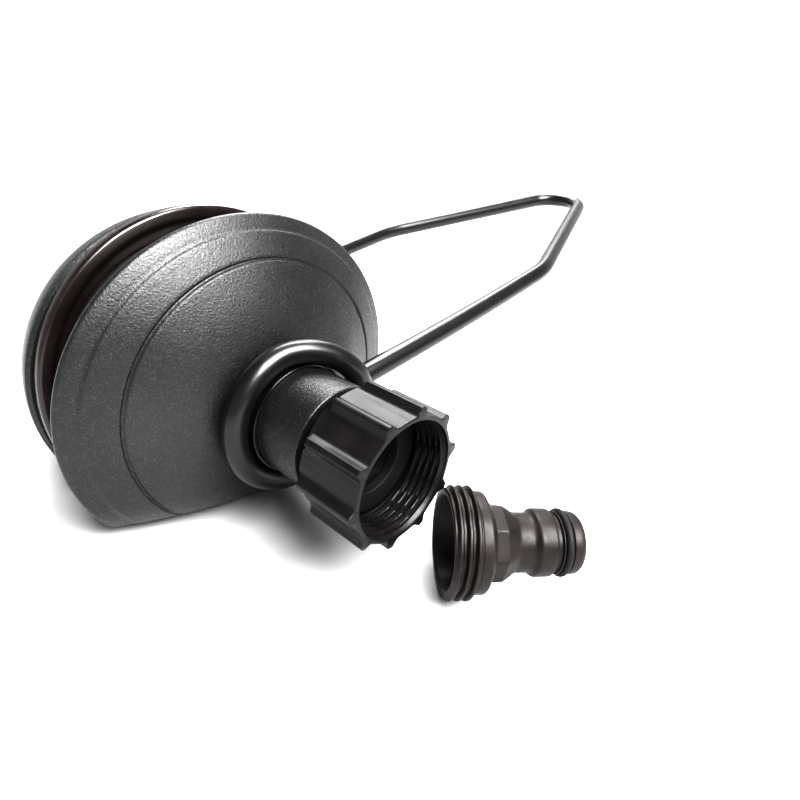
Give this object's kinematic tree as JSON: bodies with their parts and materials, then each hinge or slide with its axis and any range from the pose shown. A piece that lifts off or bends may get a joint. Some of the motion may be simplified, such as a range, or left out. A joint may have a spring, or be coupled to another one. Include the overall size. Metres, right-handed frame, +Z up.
{
  "type": "foot operated hose valve",
  "caption": "Foot-operated garden hose valve: round two-shell body on a flat base, wire treadle, swivel nut inlet, threaded outlet and a loose quick-connect adapter.",
  "frame": {"origin": "centre of the underside of the base pad, below the middle of the body", "axes": "+Z up; the hose line runs along Y, inlet nut towards -Y and outlet towards +Y; the treadle reaches towards +X"},
  "size_m": [0.2508, 0.1844, 0.0838],
  "materials": {
    "body_plastic": "charcoal moulded plastic with a fine sparkling grain",
    "dark_disc": "glossy brown-black moulded plastic",
    "nut_plastic": "satin charcoal plastic",
    "adapter_plastic": "satin charcoal plastic",
    "ring_black": "glossy black plastic",
    "wire_black": "gloss black coating on steel wire",
    "rubber": "black rubber",
    "brass": "turned brass",
    "steel": "plain steel",
    "plate_steel": "charcoal painted steel",
    "collar_steel": "black painted steel",
    "nylon": "natural nylon"
  },
  "bodies": {
    "valve": {"front_housing": "body_plastic", "rear_housing": "body_plastic", "centre_disc": "dark_disc", "tie_rod_1": "steel", "tie_rod_2": "steel", "tie_rod_3": "steel", "tie_rod_4": "steel", "base_pad": "rubber", "base_plate": "plate_steel", "base_screw_1": "steel", "base_screw_2": "steel", "base_screw_3": "steel", "base_screw_4": "steel", "valve_barrel": "brass", "barrel_cover": "brass", "cover_seal": "rubber", "port_gasket": "rubber", "port_plate": "nylon", "rear_bearing": "nylon", "sleeve_seal": "rubber", "return_spring": "steel", "pivot_bush": "dark_disc", "inlet_tail": "collar_steel", "neck_seal": "rubber", "retaining_ring": "ring_black", "hose_washer": "rubber", "inlet_strainer": "ring_black", "check_spring": "steel", "check_cage": "nylon"},
    "treadle": {"treadle_wire": "wire_black", "rotor_sleeve": "brass", "rotor_disc": "nylon", "drive_collar": "collar_steel", "drive_pin": "steel"},
    "inlet_nut": {"swivel_nut": "nut_plastic"},
    "poppet": {"check_poppet": "nylon"},
    "outlet": {"outlet_coupling": "nut_plastic", "outlet_seal": "rubber", "outlet_clip": "steel"},
    "adapter": {"adapter_body": "adapter_plastic", "adapter_seal": "rubber"}
  },
  "joints": [
    {"name": "treadle_press", "type": "hinge", "parent": "valve", "child": "treadle", "pos_m": [0, 0, 0.0312], "axis": [0, 1, 0], "range_deg": [0, 21], "stiffness_Nm_per_rad": 0.6, "springref_deg": -20.05},
    {"name": "nut_spin", "type": "hinge", "parent": "valve", "child": "inlet_nut", "pos_m": [0, -0.068, 0.0312], "axis": [0, 1, 0], "continuous": true},
    {"name": "poppet_slide", "type": "slide", "parent": "valve", "child": "poppet", "axis": [0, 1, 0], "range_m": [0, 0.003], "stiffness_N_per_m": 150, "springref_m": -0.002},
    {"name": "outlet_swivel", "type": "hinge", "parent": "treadle", "child": "outlet", "pos_m": [0, 0.06, 0.0312], "axis": [0, 1, 0], "continuous": true},
    {"name": "adapter_lift", "type": "slide", "parent": "valve", "child": "adapter", "axis": [0.5495, -0.5495, 0.6294], "range_m": [0, 0.08]}
  ]
}
